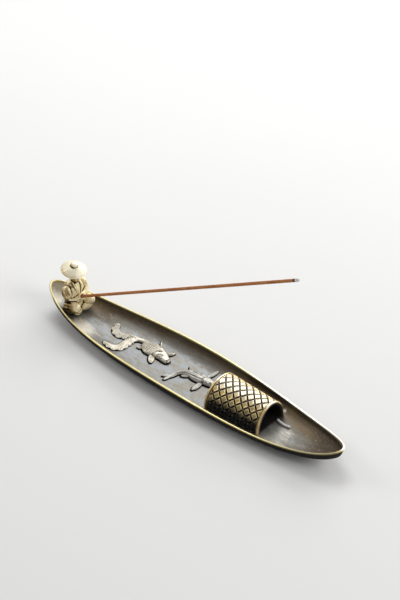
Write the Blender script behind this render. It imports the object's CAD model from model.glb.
"""An incense boat in cast brass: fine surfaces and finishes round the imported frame."""

import logging
import math
from dataclasses import dataclass, field, replace
from enum import Enum, IntEnum
from typing import Callable, Sequence

import bpy
import numpy as np
from mathutils import Matrix

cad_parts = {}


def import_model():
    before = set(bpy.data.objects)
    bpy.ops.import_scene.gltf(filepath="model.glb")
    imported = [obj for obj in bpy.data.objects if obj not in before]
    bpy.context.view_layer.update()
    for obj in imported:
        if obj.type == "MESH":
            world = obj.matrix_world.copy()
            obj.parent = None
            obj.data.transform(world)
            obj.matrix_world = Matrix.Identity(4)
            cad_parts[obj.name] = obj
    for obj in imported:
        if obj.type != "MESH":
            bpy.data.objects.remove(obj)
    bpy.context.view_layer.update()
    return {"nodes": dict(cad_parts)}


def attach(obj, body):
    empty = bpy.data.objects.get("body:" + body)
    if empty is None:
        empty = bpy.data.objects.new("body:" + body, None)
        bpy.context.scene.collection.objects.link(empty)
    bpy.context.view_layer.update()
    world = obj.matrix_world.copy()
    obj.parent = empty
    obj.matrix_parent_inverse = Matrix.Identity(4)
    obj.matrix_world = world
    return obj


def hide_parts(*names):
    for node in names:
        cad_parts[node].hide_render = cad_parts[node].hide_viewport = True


MM = 0.001
Array = np.ndarray
Colour = tuple[float, float, float]
Span = tuple[float, float]
Socket = bpy.types.NodeSocket
Value = Socket | float | tuple
log = logging.getLogger("incense_boat")


class Body(Enum):
    """The bodies of the frame that pieces ride on."""

    BOAT = "boat"
    STICK = "stick"
    CANOPY = "canopy"


class Slot(Enum):
    """Material slots of the record."""

    HULL = "hull_bronze"
    FIGURE = "figure_brass"
    HAT = "hat_brass"
    CANOPY = "canopy_brass"
    CARP = "carp_brass"
    INCENSE = "incense"
    ASH = "ash"


class Mask(Enum):
    """Vertex attributes that the finishes read."""

    HOLLOW = "hollow"
    RIM = "rim"
    WALL = "wall"
    ALONG = "along"
    TONE = "tone"


class Zone(IntEnum):
    """Zones of the canopy's section, from one end to the other and back inside."""

    WEAVE = 0
    BEAD = 1
    INSIDE = 2


# ---------------------------------------------------------------- surfaces


@dataclass
class Shell:
    """Closed skins in millimetres: points and the faces between them."""

    points: Array
    faces: list[Array]

    @staticmethod
    def merge(shells: Sequence["Shell"]) -> "Shell":
        """Puts several shells into one.

        Args:
            shells: The shells to gather.

        Returns:
            One shell with all their points and faces.
        """
        starts = np.cumsum([0] + [len(s.points) for s in shells[:-1]])
        faces = [f + a for s, a in zip(shells, starts) for f in s.faces]
        return Shell(np.concatenate([s.points for s in shells]), faces)

    def moved(self, matrix: Array, offset: Array) -> "Shell":
        """Turns and shifts the shell.

        Args:
            matrix: A 3 by 3 matrix whose columns are the new axes.
            offset: The new place of the origin.

        Returns:
            The placed shell.
        """
        return Shell(self.points @ np.asarray(matrix).T + offset, self.faces)

    def build(self, name: str, scale: float = MM) -> bpy.types.Object:
        """Makes a smooth-shaded object of the shell.

        Args:
            name: Name of the object and its mesh.
            scale: Metres to a unit of the points.

        Returns:
            The new object, linked to the scene.
        """
        mesh = bpy.data.meshes.new(name)
        loops = np.concatenate([f.ravel() for f in self.faces])
        sizes = np.concatenate([np.full(len(f), f.shape[1]) for f in self.faces])
        mesh.vertices.add(len(self.points))
        mesh.vertices.foreach_set("co", (self.points * scale).astype(np.float32).ravel())
        mesh.loops.add(len(loops))
        mesh.loops.foreach_set("vertex_index", loops.astype(np.int32))
        mesh.polygons.add(len(sizes))
        mesh.polygons.foreach_set("loop_start", np.cumsum(np.r_[0, sizes[:-1]]).astype(np.int32))
        mesh.polygons.foreach_set("use_smooth", np.ones(len(sizes), bool))
        mesh.update(calc_edges=True)
        mesh.validate()
        thing = bpy.data.objects.new(name, mesh)
        bpy.context.scene.collection.objects.link(thing)
        return thing


def skin(rings: Array, start: bool = True, end: bool = True) -> Shell:
    """Joins rings of the same count into a closed skin.

    Ring k meets ring k + 1 point by point. Rings run counter-clockwise round
    the way that the stack goes, so the faces point outwards, and each end is
    closed by a fan from the mean of its ring.

    Args:
        rings: Points as (ring, point, 3).
        start: Whether the first ring is closed.
        end: Whether the last ring is closed.

    Returns:
        The skin.
    """
    count, around, _ = rings.shape
    i = np.arange(around)
    j = (i + 1) % around
    a = (np.arange(count - 1) * around)[:, None]
    quads = np.stack([a + i, a + j, a + j + around, a + i + around], -1).reshape(-1, 4)
    points = [rings.reshape(-1, 3)]
    faces = [quads]
    total = count * around
    if start:
        points.append(rings[0].mean(0)[None])
        faces.append(np.stack([np.full(around, total), j, i], -1))
        total += 1
    if end:
        last = (count - 1) * around
        points.append(rings[-1].mean(0)[None])
        faces.append(np.stack([np.full(around, total), last + i, last + j], -1))
    return Shell(np.concatenate(points), faces)


def blend(stations: Array, t: Array) -> Array:
    """A smooth curve through stations (the cubic that passes through each one).

    Args:
        stations: Values as (station, n).
        t: Places along the curve, where a whole number is a station.

    Returns:
        The values at t, as (len(t), n).
    """
    p = np.asarray(stations, float)
    n = len(p) - 1
    i = np.minimum(np.floor(t).astype(int), n - 1)
    f = (t - i)[:, None]
    a, b, c, d = p[np.maximum(i - 1, 0)], p[i], p[i + 1], p[np.minimum(i + 2, n)]
    return b + f * ((c - a) / 2 + f * ((a - 2.5 * b + 2 * c - d / 2)
                                       + f * (3 * (b - c) + d - a) / 2))


def unit(v: Array) -> Array:
    """Vectors scaled to length one along their last axis."""
    return v / np.maximum(np.linalg.norm(v, axis=-1, keepdims=True), 1e-12)


def bell(x: Array, width: float) -> Array:
    """A smooth hump, 1 at zero and near 0 beyond twice the width."""
    return np.exp(-(x / width) ** 2)


def step(x: Array, low: float, high: float) -> Array:
    """A smooth step from 0 at low to 1 at high."""
    t = np.clip((x - low) / (high - low), 0, 1)
    return t * t * (3 - 2 * t)


def ramp(x: Array, low: float, high: float) -> Array:
    """A straight rise from 0 at low to 1 at high."""
    return np.clip((x - low) / (high - low), 0, 1)


Relief = Callable[[Array, Array], Array]


def sweep(stations: Sequence, ref: Sequence[float] = (0, 0, 1), sides: int = 48,
          steps: int = 10, relief: Relief | None = None) -> Shell:
    """A round form carried through stations.

    At t the section is an oval: centre(t) + up * a(t) * cos(q) + side * b(t) * sin(q),
    where up is the reference squared up to the path and side lies across both.
    The relief pushes each point out by a share of the oval.

    Args:
        stations: Rows of x, y, z, radius along the reference, radius across it.
        ref: Reference direction.
        sides: Points round a section.
        steps: Rings between two stations.
        relief: Share by which a point at (t, q) stands proud of the oval.

    Returns:
        The closed form.
    """
    p = np.asarray(stations, float)
    spans = len(p) - 1
    t = np.linspace(0, spans, spans * steps + 1)
    at = blend(p, t)
    gone = blend(p[:, :3], np.minimum(t + 0.05, spans)) - blend(p[:, :3], np.maximum(t - 0.05, 0))
    forward = unit(gone)
    up = unit(np.asarray(ref, float) - (forward @ np.asarray(ref, float))[:, None] * forward)
    side = np.cross(forward, up)
    q = np.linspace(0, 2 * math.pi, sides, endpoint=False)
    grow = 1 + (relief(t[:, None], q[None]) if relief else np.zeros((len(t), sides)))
    rings = (at[:, None, :3]
             + up[:, None] * (at[:, 3, None] * np.cos(q) * grow)[..., None]
             + side[:, None] * (at[:, 4, None] * np.sin(q) * grow)[..., None])
    return skin(rings)


def egg(centre: Sequence[float], radii: Sequence[float], sides: int = 28) -> Shell:
    """An ellipsoid: centre + radii * (cos b cos a, cos b sin a, sin b).

    Args:
        centre: Middle of the form.
        radii: Half sizes along X, Y and Z.
        sides: Points round its equator.

    Returns:
        The closed form.
    """
    b = np.linspace(-math.pi / 2, math.pi / 2, sides // 2 + 1)[1:-1, None]
    a = np.linspace(0, 2 * math.pi, sides, endpoint=False)[None]
    ball = np.stack([np.cos(b) * np.cos(a), np.cos(b) * np.sin(a), np.sin(b) + 0 * a], -1)
    return skin(ball * np.asarray(radii, float) + np.asarray(centre, float))


def lathe(profile: Array, sides: int = 160, relief: Relief | None = None) -> Shell:
    """A profile turned round +Z: (r cos a, r sin a, z).

    Args:
        profile: Rows of radius and height, from the bottom pole up to the top one.
        sides: Points round the form.
        relief: Height added at (row, angle).

    Returns:
        The closed form.
    """
    a = np.linspace(0, 2 * math.pi, sides, endpoint=False)[None]
    r, z = profile[:, :1], profile[:, 1:]
    lift = relief(np.arange(len(profile))[:, None], a) if relief else 0 * r * a
    return skin(np.stack([r * np.cos(a), r * np.sin(a), z + lift + 0 * a], -1))


def ripple(x: Array, y: Array, z: Array, seed: int, scale: float) -> Array:
    """Smooth unevenness: the mean of six sine waves in seeded directions.

    Args:
        x: X in millimetres.
        y: Y in millimetres.
        z: Z in millimetres.
        seed: Seed of the directions and phases.
        scale: Rough size of a hump in millimetres.

    Returns:
        Values from about -1 to 1.
    """
    draw = np.random.default_rng(seed)
    total = np.zeros(np.broadcast(x, y, z).shape)
    for _ in range(6):
        way = unit(draw.normal(size=3)) * draw.uniform(0.7, 1.6) * 2 * math.pi / (3 * scale)
        total += np.sin(way[0] * x + way[1] * y + way[2] * z + draw.uniform(0, 2 * math.pi))
    return total / 3


# ---------------------------------------------------------------- meshes


def points_of(thing: bpy.types.Object) -> Array:
    """The vertices of an object's mesh, as (n, 3)."""
    co = np.empty(len(thing.data.vertices) * 3, np.float32)
    thing.data.vertices.foreach_get("co", co)
    return co.reshape(-1, 3).astype(float)


def put_points(thing: bpy.types.Object, points: Array) -> None:
    """Writes new vertex places into an object's mesh."""
    thing.data.vertices.foreach_set("co", points.astype(np.float32).ravel())
    thing.data.update()


def normals_of(thing: bpy.types.Object) -> Array:
    """The vertex normals of an object's mesh, as (n, 3)."""
    out = np.empty(len(thing.data.vertices) * 3, np.float32)
    thing.data.vertex_normals.foreach_get("vector", out)
    return out.reshape(-1, 3).astype(float)


def write_mask(thing: bpy.types.Object, mask: Mask, values: Array) -> None:
    """Stores one value a vertex for the finishes to read."""
    attribute = thing.data.attributes.get(mask.value) or thing.data.attributes.new(
        mask.value, "FLOAT", "POINT")
    attribute.data.foreach_set("value", values.astype(np.float32))


def relaxed(thing: bpy.types.Object, values: Array, rounds: int) -> Array:
    """Spreads values over the mesh: each becomes the mean of its neighbours, again and again.

    Args:
        thing: The object whose edges link the values.
        values: Values as (vertex, n).
        rounds: Times that the mean is taken.

    Returns:
        The spread values.
    """
    edges = np.empty(len(thing.data.edges) * 2, np.int32)
    thing.data.edges.foreach_get("vertices", edges)
    a, b = edges.reshape(-1, 2).T
    count = len(values)
    near = np.maximum(np.bincount(a, minlength=count) + np.bincount(b, minlength=count), 1)
    out = values.astype(float).copy()
    for _ in range(rounds):
        for n in range(out.shape[1]):
            column = out[:, n]
            total = (np.bincount(a, column[b], minlength=count)
                     + np.bincount(b, column[a], minlength=count))
            out[:, n] = 0.5 * column + 0.5 * total / near
    return out


def shade_hollows(thing: bpy.types.Object, scales: Sequence[tuple[int, float]],
                  extra: Array | float = 0.0) -> None:
    """Writes how sunk each vertex lies: 1 deep in a fold, 0.5 on the flat, 0 on a ridge.

    The measure is the height of the relaxed surface over the vertex, along the
    vertex normal, added up over several widths of relaxation.

    Args:
        thing: The object, with its mesh in metres.
        scales: Pairs of relaxation rounds and the depth in millimetres that counts as full.
        extra: Added at each vertex.
    """
    base = points_of(thing)
    normal = normals_of(thing)
    sunk = np.zeros(len(base))
    for rounds, depth in scales:
        over = ((relaxed(thing, base, rounds) - base) * normal).sum(1)
        sunk += over / (depth * MM)
    write_mask(thing, Mask.HOLLOW, np.clip(0.5 + 0.5 * sunk + extra, 0, 1.3))


def run_modifier(thing: bpy.types.Object, kind: str, **settings: object) -> None:
    """Adds a modifier, sets it and applies it.

    Args:
        thing: The object.
        kind: Blender's modifier type.
        settings: Its properties.
    """
    modifier = thing.modifiers.new(kind.lower(), kind)
    for key, value in settings.items():
        setattr(modifier, key, value)
    bpy.context.view_layer.objects.active = thing
    bpy.ops.object.modifier_apply(modifier=modifier.name)


def cast(shells: Sequence[Shell], name: str, voxel: float) -> bpy.types.Object:
    """Fuses overlapping closed shells into one skin with an even mesh.

    Args:
        shells: The forms, in millimetres.
        name: Name of the new object.
        voxel: Edge length of the even mesh, in millimetres.

    Returns:
        The fused object, still in millimetres.
    """
    thing = Shell.merge(shells).build(name, 1)
    run_modifier(thing, "REMESH", mode="VOXEL", voxel_size=voxel, use_smooth_shade=True)
    return thing


def cut(thing: bpy.types.Object, tools: Sequence[Shell]) -> None:
    """Cuts closed shells out of an object.

    Args:
        thing: The object, in the units of the shells.
        tools: What is cut out.
    """
    for tool in tools:
        other = tool.build("tool", 1)
        run_modifier(thing, "BOOLEAN", object=other, operation="DIFFERENCE", solver="EXACT")
        bpy.data.objects.remove(other)


def to_metres(thing: bpy.types.Object) -> None:
    """Turns a mesh made in millimetres into metres and shades it smooth."""
    put_points(thing, points_of(thing) * MM)
    thing.data.polygons.foreach_set("use_smooth", np.ones(len(thing.data.polygons), bool))
    thing.data.update()


def sharpen(thing: bpy.types.Object, degrees: float) -> None:
    """Keeps edges sharper than an angle crisp under smooth shading."""
    thing.data.set_sharp_from_angle(angle=math.radians(degrees))


# ---------------------------------------------------------------- finishes


class Sketch:
    """A node tree while it is drawn."""

    def __init__(self, tree: bpy.types.NodeTree) -> None:
        """Starts with the tree's own nodes."""
        self.tree = tree

    def node(self, kind: str, inputs: dict | None = None, **settings: object) -> bpy.types.Node:
        """Adds a node.

        Args:
            kind: Node type without its ShaderNode prefix.
            inputs: Values or sockets by input name or number.
            settings: Properties of the node.

        Returns:
            The node.
        """
        made = self.tree.nodes.new("ShaderNode" + kind)
        for key, value in settings.items():
            setattr(made, key, value)
        for key, value in (inputs or {}).items():
            self.feed(made.inputs[key], value)
        return made

    def feed(self, socket: Socket, value: Value) -> None:
        """Links a socket to an input, or sets the input's own value."""
        if isinstance(value, Socket):
            self.tree.links.new(value, socket)
        elif socket.type == "RGBA":
            socket.default_value = (*value, 1)
        else:
            socket.default_value = value

    def math(self, operation: str, *values: Value) -> Socket:
        """The values taken through Math nodes one after another, from the left."""
        total = values[0]
        for value in values[1:]:
            total = self.node("Math", {0: total, 1: value}, operation=operation).outputs[0]
        return total

    def add(self, *terms: Value) -> Socket:
        """The sum of its terms."""
        return self.math("ADD", *terms)

    def less(self, whole: Value, part: Value) -> Socket:
        """The whole less the part."""
        return self.math("SUBTRACT", whole, part)

    def times(self, *factors: Value) -> Socket:
        """The product of its factors."""
        return self.math("MULTIPLY", *factors)

    def swing(self, noise: Value, amount: Value) -> Socket:
        """Noise made to swing round zero: amount * (noise - 0.5)."""
        return self.times(self.less(noise, 0.5), amount)

    def mix(self, share: Value, a: Value, b: Value) -> Socket:
        """Two colours mixed by a share, 0 for the first and 1 for the second."""
        return self.node("Mix", {0: share, 6: a, 7: b}, data_type="RGBA").outputs[2]

    def between(self, value: Value, low: Value, high: Value, out_low: Value = 0.0,
                out_high: Value = 1.0) -> Socket:
        """A value mapped smoothly from one range to another."""
        made = self.node("MapRange", {0: value, 1: low, 2: high, 3: out_low, 4: out_high},
                         interpolation_type="SMOOTHSTEP")
        return made.outputs[0]

    def noise(self, place: Socket, scale: Value, detail: float = 4.0,
              rough: float = 0.55, stretch: Sequence[float] | None = None) -> Socket:
        """Noise at a place.

        Args:
            place: Coordinates in metres.
            scale: Humps to a metre, roughly.
            detail: Finer layers of noise.
            rough: Strength of the finer layers.
            stretch: Factors along the axes, less than one for longer humps.

        Returns:
            The noise, round 0.5.
        """
        if stretch:
            place = self.node("Mapping", {"Vector": place, "Scale": tuple(stretch)}).outputs[0]
        made = self.node("TexNoise", {"Vector": place, "Scale": scale, "Detail": detail,
                                      "Roughness": rough})
        return made.outputs["Fac"]

    def spots(self, place: Socket, scale: Value, size: float) -> Socket:
        """Small round spots, one in each cell of a scattered grid."""
        made = self.node("TexVoronoi", {"Vector": place, "Scale": scale})
        return self.between(made.outputs["Distance"], size, size * 0.4)

    def mask(self, mask: Mask) -> Socket:
        """A vertex attribute's value."""
        return self.node("Attribute", attribute_name=mask.value).outputs["Fac"]

    def turned(self, place: Socket, angle: float) -> Socket:
        """Coordinates turned about Z, so that what runs along X runs at an angle to it."""
        made = self.node("VectorRotate", {"Vector": place, "Angle": angle},
                         rotation_type="Z_AXIS")
        return made.outputs[0]

    def place(self) -> Socket:
        """Object coordinates."""
        return self.node("TexCoord").outputs["Object"]


def group(name: str, inputs: Sequence[tuple[str, str, object]],
          outputs: Sequence[tuple[str, str]],
          draw: Callable[[Sketch, dict], dict]) -> bpy.types.NodeTree:
    """Makes a shader node group, once.

    Args:
        name: The group's name.
        inputs: Name, socket type and default of each input.
        outputs: Name and socket type of each output.
        draw: Draws the nodes from the input sockets and returns the output sockets.

    Returns:
        The group.
    """
    found = bpy.data.node_groups.get(name)
    if found:
        return found
    tree = bpy.data.node_groups.new(name, "ShaderNodeTree")
    for label, kind, value in inputs:
        socket = tree.interface.new_socket(label, in_out="INPUT", socket_type="NodeSocket" + kind)
        if kind != "Vector":
            socket.default_value = (*value, 1) if kind == "Color" else value
    for label, kind in outputs:
        tree.interface.new_socket(label, in_out="OUTPUT", socket_type="NodeSocket" + kind)
    start = tree.nodes.new("NodeGroupInput")
    end = tree.nodes.new("NodeGroupOutput")
    sketch = Sketch(tree)
    for label, socket in draw(sketch, start.outputs).items():
        tree.links.new(socket, end.inputs[label])
    return tree


def draw_patina(s: Sketch, given: dict) -> dict:
    """Metal rubbed bright on what stands proud, brown on the flat and black in the hollows.

    The hollow mask, shaken by noise, runs through three colours. Fine
    casting grain and small pits give the height.

    Args:
        s: The group's sketch.
        given: Its input sockets by name.

    Returns:
        Its output sockets by name.
    """
    place = given["Place"]
    cloud = s.noise(place, s.times(given["Scale"], 0.22), 3.0)
    fine = s.noise(place, given["Scale"], 6.0, 0.65)
    shaken = s.add(given["Hollow"], s.swing(fine, 0.34), s.swing(cloud, given["Clouds"]))
    brown = s.between(shaken, given["Brown from"], given["Brown to"])
    black = s.between(shaken, given["Brown to"], s.add(given["Brown to"], 0.22))
    colour = s.mix(brown, given["Bright"], given["Middle"])
    colour = s.mix(black, colour, given["Dark"])
    pits = s.spots(place, s.times(given["Scale"], 0.8), 0.16)
    height = s.less(s.times(fine, 0.6), s.times(pits, 0.35))
    rough = s.add(s.times(brown, 0.12), s.times(fine, 0.14))
    return {"Color": colour, "Dirt": black, "Rough": rough, "Height": height}


def patina_group() -> bpy.types.NodeTree:
    """The aged-metal effect that the castings share."""
    return group(
        "aged_metal",
        [("Place", "Vector", None), ("Bright", "Color", (1, 1, 1)), ("Middle", "Color", (1, 1, 1)),
         ("Dark", "Color", (0, 0, 0)), ("Hollow", "Float", 0.5), ("Clouds", "Float", 0.3),
         ("Brown from", "Float", 0.45), ("Brown to", "Float", 0.7), ("Scale", "Float", 900.0)],
        [("Color", "Color"), ("Dirt", "Float"), ("Rough", "Float"), ("Height", "Float")],
        draw_patina)


def draw_brushing(s: Sketch, given: dict) -> dict:
    """Fine scratches along X: two widths of noise, stretched fifty to eighty times.

    Args:
        s: The group's sketch.
        given: Its input sockets by name.

    Returns:
        Its output socket by name.
    """
    wide = s.noise(given["Place"], given["Scale"], 5.0, 0.6, (0.02, 1.0, 1.0))
    thin = s.noise(given["Place"], s.times(given["Scale"], 3.1), 3.0, 0.6, (0.012, 1.0, 1.0))
    return {"Lines": s.add(s.times(wide, 0.55), s.times(thin, 0.45))}


def brushing_group() -> bpy.types.NodeTree:
    """The lengthwise scratches of the boat and the stick."""
    return group("brushed_lines", [("Place", "Vector", None), ("Scale", "Float", 900.0)],
                 [("Lines", "Float")], draw_brushing)


class Finish:
    """A material while it is made: its sketch, its shader and its own sockets."""

    def __init__(self, name: str) -> None:
        """Makes an empty material with one Principled shader."""
        self.material = bpy.data.materials.new(name)
        self.material.use_nodes = True
        tree = self.material.node_tree
        tree.nodes.clear()
        self.sketch = Sketch(tree)
        self.shader = self.sketch.node("BsdfPrincipled")
        end = self.sketch.node("OutputMaterial")
        tree.links.new(self.shader.outputs[0], end.inputs["Surface"])

    def set(self, **values: object) -> None:
        """Sets or links inputs of the shader, named with underscores for spaces."""
        for key, value in values.items():
            self.sketch.feed(self.shader.inputs[key.replace("_", " ")], value)

    def bump(self, height: Socket, strength: float, depth: float) -> None:
        """Feeds a height through a Bump node.

        Args:
            height: The height's socket.
            strength: Strength of the bump.
            depth: Depth of a full step, in metres.
        """
        made = self.sketch.node("Bump", {"Height": height, "Strength": strength,
                                         "Distance": depth})
        self.set(Normal=made.outputs[0])

    def use(self, tree: bpy.types.NodeTree, **values: object) -> bpy.types.Node:
        """Places a node group.

        Args:
            tree: The group.
            values: Its inputs, named with underscores for spaces.

        Returns:
            The group's node.
        """
        made = self.sketch.tree.nodes.new("ShaderNodeGroup")
        made.node_tree = tree
        for key, value in values.items():
            self.sketch.feed(made.inputs[key.replace("_", " ")], value)
        return made


@dataclass(frozen=True)
class CastBrass:
    """Cast brass with an antique patina, rubbed back on its high places."""

    name: str
    bright: Colour
    middle: Colour
    dark: Colour
    brown_from: float = 0.45
    brown_to: float = 0.70
    clouds: float = 0.3
    scale: float = 900.0
    metallic: float = 0.9
    roughness: float = 0.34
    bump: float = 0.25

    def material(self) -> bpy.types.Material:
        """Builds the finish."""
        f = Finish(self.name)
        s = f.sketch
        place = s.place()
        aged = f.use(patina_group(), Place=place, Bright=self.bright, Middle=self.middle,
                     Dark=self.dark, Hollow=s.mask(Mask.HOLLOW), Clouds=self.clouds,
                     Brown_from=self.brown_from, Brown_to=self.brown_to, Scale=self.scale)
        dirt = aged.outputs["Dirt"]
        f.set(Base_Color=aged.outputs["Color"],
              Metallic=s.add(self.metallic, s.times(dirt, 1.0 - self.metallic)),
              Roughness=s.add(s.times(dirt, 0.2), self.roughness, aged.outputs["Rough"]))
        f.bump(aged.outputs["Height"], self.bump, 0.0002)
        return f.material


@dataclass(frozen=True)
class BoatBronze:
    """The boat's bronze: a grey floor, browner walls and bow, and a polished brass rim."""

    name: str = "boat_bronze"
    floor: Colour = (0.262, 0.276, 0.282)
    olive: Colour = (0.235, 0.205, 0.150)
    wall: Colour = (0.150, 0.142, 0.122)
    top: Colour = (0.120, 0.090, 0.055)
    brown: Colour = (0.080, 0.061, 0.042)
    worn: Colour = (0.66, 0.63, 0.56)
    rim: Colour = (0.66, 0.57, 0.28)
    tarnish: Colour = (0.33, 0.29, 0.17)
    soot: Colour = (0.030, 0.029, 0.028)
    fleck: Colour = (0.30, 0.24, 0.16)
    pit: Colour = (0.045, 0.038, 0.030)
    pale: Colour = (0.95, 0.91, 0.80)
    turn: float = math.radians(12)
    soot_x: Span = (0.027, 0.0655)
    soot_rear: float = 0.008
    soot_front: Span = (0.0006, 0.002)

    def ground(self, s: Sketch, clouds: Socket, shake: Socket) -> Socket:
        """The colour of the floor, the walls and the bow.

        Args:
            s: The material's sketch.
            clouds: Noise that mottles the floor.
            shake: Noise round zero that frays the borders between the tones.

        Returns:
            The colour.
        """
        colour = s.mix(s.times(s.between(clouds, 0.42, 0.62), 0.75), self.floor, self.olive)
        high = s.add(s.mask(Mask.WALL), shake)
        colour = s.mix(s.between(high, 0.15, 0.55), colour, self.wall)
        colour = s.mix(s.between(high, 0.60, 1.05), colour, self.top)
        ends = s.add(s.mask(Mask.ALONG), s.times(shake, 1.2))
        return s.mix(s.between(ends, 0.15, 0.95), colour, self.brown)

    def sooted(self, s: Sketch, place: Socket, blots: Socket, under: Socket,
               colour: Socket) -> Socket:
        """Adds soot on the floor under the canopy and darkens the outside.

        Args:
            s: The material's sketch.
            place: Object coordinates.
            blots: Noise that thins the soot.
            under: Mask of the outside.
            colour: The colour so far.

        Returns:
            The sooted colour.
        """
        x = s.node("SeparateXYZ", {"Vector": place}).outputs["X"]
        rear, front = self.soot_x
        shut = s.times(s.between(x, rear, rear + self.soot_rear),
                       s.between(x, front + self.soot_front[0], front - self.soot_front[1]))
        blotted = s.add(0.76, s.times(s.between(blots, 0.65, 0.40), 0.18))
        colour = s.mix(s.times(shut, s.mask(Mask.HOLLOW), blotted), colour, self.soot)
        return s.mix(under, colour, self.soot)

    def flecked(self, s: Sketch, patch: Socket, colour: Socket) -> Socket:
        """Adds pale flecks and dark pits, more of them at the bow.

        Args:
            s: The material's sketch.
            patch: Noise whose highs are flecks and whose lows are pits.
            colour: The colour so far.

        Returns:
            The flecked colour.
        """
        bow = s.mask(Mask.ALONG)
        flecks = s.times(s.between(patch, 0.54, 0.68), s.add(0.28, s.times(bow, 0.62)))
        pits = s.times(s.between(patch, 0.46, 0.30), s.add(0.42, s.times(bow, 0.25)))
        return s.mix(pits, s.mix(flecks, colour, self.fleck), self.pit)

    def material(self) -> bpy.types.Material:
        """Builds the finish."""
        f = Finish(self.name)
        s = f.sketch
        place = s.place()
        lined = s.turned(place, self.turn)
        lines = f.use(brushing_group(), Place=lined, Scale=1000.0).outputs["Lines"]
        blots = s.noise(place, 75.0, 5.0, 0.65)
        clouds = s.noise(lined, 330.0, 5.0, 0.62, (0.5, 1.0, 1.0))
        grain = s.noise(place, 1500.0, 4.0, 0.65)
        patch = s.noise(lined, 1100.0, 5.0, 0.7, (0.4, 1.0, 1.0))
        polish = s.mask(Mask.TONE)
        shake = s.add(s.swing(blots, 0.5), s.swing(clouds, 0.5))
        under = s.between(s.mask(Mask.HOLLOW), 1.05, 1.25)
        rim = s.between(s.add(s.mask(Mask.RIM), s.swing(grain, 0.08)), 0.35, 0.60)
        colour = self.ground(s, clouds, shake)
        glow = s.add(polish, shake, s.swing(lines, 1.6))
        colour = s.mix(s.between(glow, 0.25, 0.95), colour, self.worn)
        colour = self.sooted(s, place, blots, under, colour)
        colour = self.flecked(s, patch, colour)
        brass = s.mix(polish, self.tarnish, self.rim)
        brass = s.mix(s.between(polish, 1.0, 1.6), brass, self.pale)
        matt = s.add(s.mask(Mask.ALONG), s.times(under, 4.0), s.times(s.less(1.0, rim), polish))
        rough = s.less(s.add(s.times(lines, 0.26), 0.33), s.times(rim, 0.10))
        f.set(Base_Color=s.mix(rim, colour, brass), Roughness=s.add(rough, s.times(matt, 0.13)),
              Metallic=0.8)
        height = s.add(s.times(lines, 0.6), s.times(grain, 0.4), s.times(patch, 0.6))
        f.bump(s.times(height, s.less(1.0, s.times(rim, 0.85))), 0.4, 0.00012)
        return f.material


@dataclass(frozen=True)
class Joss:
    """Pressed incense: a matt brown paste with fine grains, charred at its burning end."""

    name: str = "joss_paste"
    pale: Colour = (0.64, 0.255, 0.075)
    brown: Colour = (0.235, 0.075, 0.020)
    char: Colour = (0.020, 0.016, 0.014)

    def material(self) -> bpy.types.Material:
        """Builds the finish."""
        f = Finish(self.name)
        s = f.sketch
        place = s.place()
        grain = s.noise(place, 2600.0, 5.0, 0.7)
        streak = f.use(brushing_group(), Place=place, Scale=500.0).outputs["Lines"]
        tone = s.add(s.times(grain, 0.6), s.times(streak, 0.4))
        colour = s.mix(s.between(tone, 0.36, 0.64), self.brown, self.pale)
        burnt = s.add(s.mask(Mask.TONE), s.swing(grain, 0.3))
        colour = s.mix(s.between(burnt, 0.35, 0.65), colour, self.char)
        f.set(Base_Color=colour, Roughness=0.82)
        f.bump(grain, 0.5, 0.0001)
        return f.material


@dataclass(frozen=True)
class Ash:
    """Incense ash: pale, powdery and cracked across."""

    name: str
    pale: Colour
    grey: Colour

    def material(self) -> bpy.types.Material:
        """Builds the finish."""
        f = Finish(self.name)
        s = f.sketch
        place = s.place()
        dust = s.noise(place, 1900.0, 6.0, 0.7)
        cells = s.node("TexVoronoi", {"Vector": place, "Scale": 1300.0},
                       feature="DISTANCE_TO_EDGE").outputs["Distance"]
        cracks = s.between(cells, 0.0, 0.09)
        colour = s.mix(s.between(dust, 0.38, 0.66), self.grey, self.pale)
        colour = s.mix(s.between(cracks, 0.0, 1.0, 0.75, 1.0), self.grey, colour)
        f.set(Base_Color=colour, Roughness=0.95)
        f.bump(s.add(s.times(dust, 0.6), s.times(cracks, 0.4)), 0.6, 0.00015)
        return f.material


@dataclass(frozen=True)
class TurnedSteel:
    """The screw: plated steel with turning rings and a little grime."""

    name: str = "screw_steel"
    steel: Colour = (0.62, 0.61, 0.58)
    grime: Colour = (0.16, 0.13, 0.10)

    def material(self) -> bpy.types.Material:
        """Builds the finish."""
        f = Finish(self.name)
        s = f.sketch
        place = s.place()
        dirt = s.noise(place, 700.0, 5.0, 0.6)
        rings = s.noise(place, 2200.0, 3.0, 0.5, (1.0, 1.0, 0.1))
        f.set(Base_Color=s.mix(s.between(dirt, 0.48, 0.72), self.steel, self.grime),
              Roughness=s.add(s.times(rings, 0.25), 0.2), Metallic=1.0)
        f.bump(rings, 0.2, 0.00005)
        return f.material


@dataclass(frozen=True)
class StudioFloor:
    """The plain pale floor of the studio."""

    name: str = "studio_floor"
    pale: Colour = (0.80, 0.80, 0.79)

    def material(self) -> bpy.types.Material:
        """Builds the finish."""
        f = Finish(self.name)
        s = f.sketch
        soft = s.noise(s.place(), 4.0, 2.0)
        shade = tuple(0.97 * c for c in self.pale)
        f.set(Base_Color=s.mix(soft, shade, self.pale), Roughness=0.9)
        return f.material


def hand_over(thing: bpy.types.Object, body: Body, slot: Slot, material: bpy.types.Material,
              *nodes: str) -> None:
    """Gives a finished piece its material, its body and the node that it stands for.

    Args:
        thing: The piece, in metres and in place.
        body: The body that it rides on.
        slot: The record's slot for its finish.
        material: Its material.
        nodes: The nodes of the frame that it replaces.
    """
    thing.data.materials.clear()
    thing.data.materials.append(material)
    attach(thing, body.value)
    if nodes:
        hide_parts(*nodes)
    log.info("%s: %d faces on %s", thing.name, len(thing.data.polygons), body.value)


# ---------------------------------------------------------------- the boat


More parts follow.
